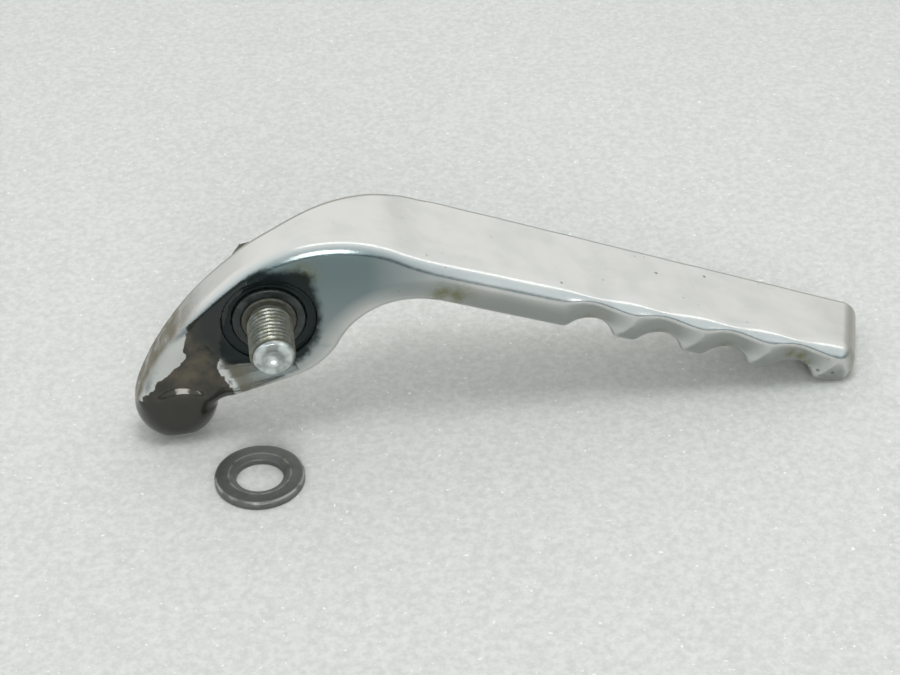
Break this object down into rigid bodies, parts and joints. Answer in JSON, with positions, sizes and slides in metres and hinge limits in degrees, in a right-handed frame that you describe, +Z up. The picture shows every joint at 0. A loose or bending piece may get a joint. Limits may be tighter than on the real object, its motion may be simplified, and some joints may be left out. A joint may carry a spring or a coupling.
{
  "type": "folding lift handle",
  "caption": "Cast hand lever with finger grooves under its bar, a round hub on a shoulder bolt with a pressed bush, a short tail, and the bolt's loose washer.",
  "frame": {"origin": "on the pivot axis, in the plane of the handle's front face, where the bolt's thread starts", "axes": "+X along the bar towards its tip, -Y along the pivot axis out of the front face, +Z up as the lever lies"},
  "size_m": [0.1734, 0.0529, 0.0513],
  "materials": {
    "cast_aluminium": "satin polished, with old grease on the tail",
    "bush_steel": "greasy turned steel",
    "zinc_steel": "worn zinc plate",
    "black_steel": "black oxide"
  },
  "bodies": {
    "lever": {"handle": "cast_aluminium", "pivot_bush": "bush_steel", "thrust_washer": "black_steel"},
    "pivot": {"pivot_bolt": "zinc_steel"}
  },
  "joints": [
    {"name": "pivot_turn", "type": "hinge", "parent": "lever", "child": "pivot", "pos_m": [0, 0, 0], "axis": [0, 1, 0], "continuous": true}
  ]
}
